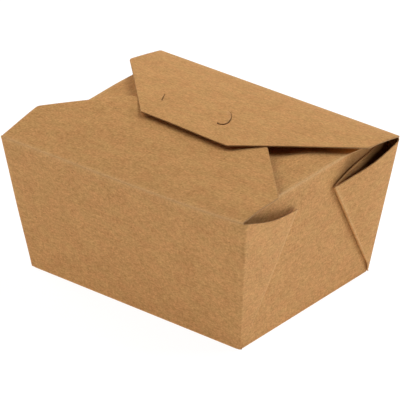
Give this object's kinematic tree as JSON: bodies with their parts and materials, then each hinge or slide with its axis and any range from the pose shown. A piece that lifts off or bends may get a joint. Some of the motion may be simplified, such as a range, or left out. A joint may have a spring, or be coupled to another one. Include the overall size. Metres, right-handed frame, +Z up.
{
  "type": "takeaway box",
  "caption": "Tapered folded paperboard food box with web corners and a low roof of interleaved flaps, the top one hinged at its crease.",
  "frame": {"origin": "centre of the box's footprint, on the surface it stands on", "axes": "+X along the long walls, -Y out of the front long wall, +Z up"},
  "size_m": [0.132, 0.106, 0.0721],
  "materials": {
    "kraft_board": "matte"
  },
  "bodies": {
    "carton": {"carton": "kraft_board"},
    "rear_flap": {"rear_flap": "kraft_board"}
  },
  "joints": [
    {"name": "rear_flap_hinge", "type": "hinge", "parent": "carton", "child": "rear_flap", "pos_m": [0, 0.05275, 0.0635], "axis": [-1, 0, 0], "range_deg": [0, 200]}
  ]
}
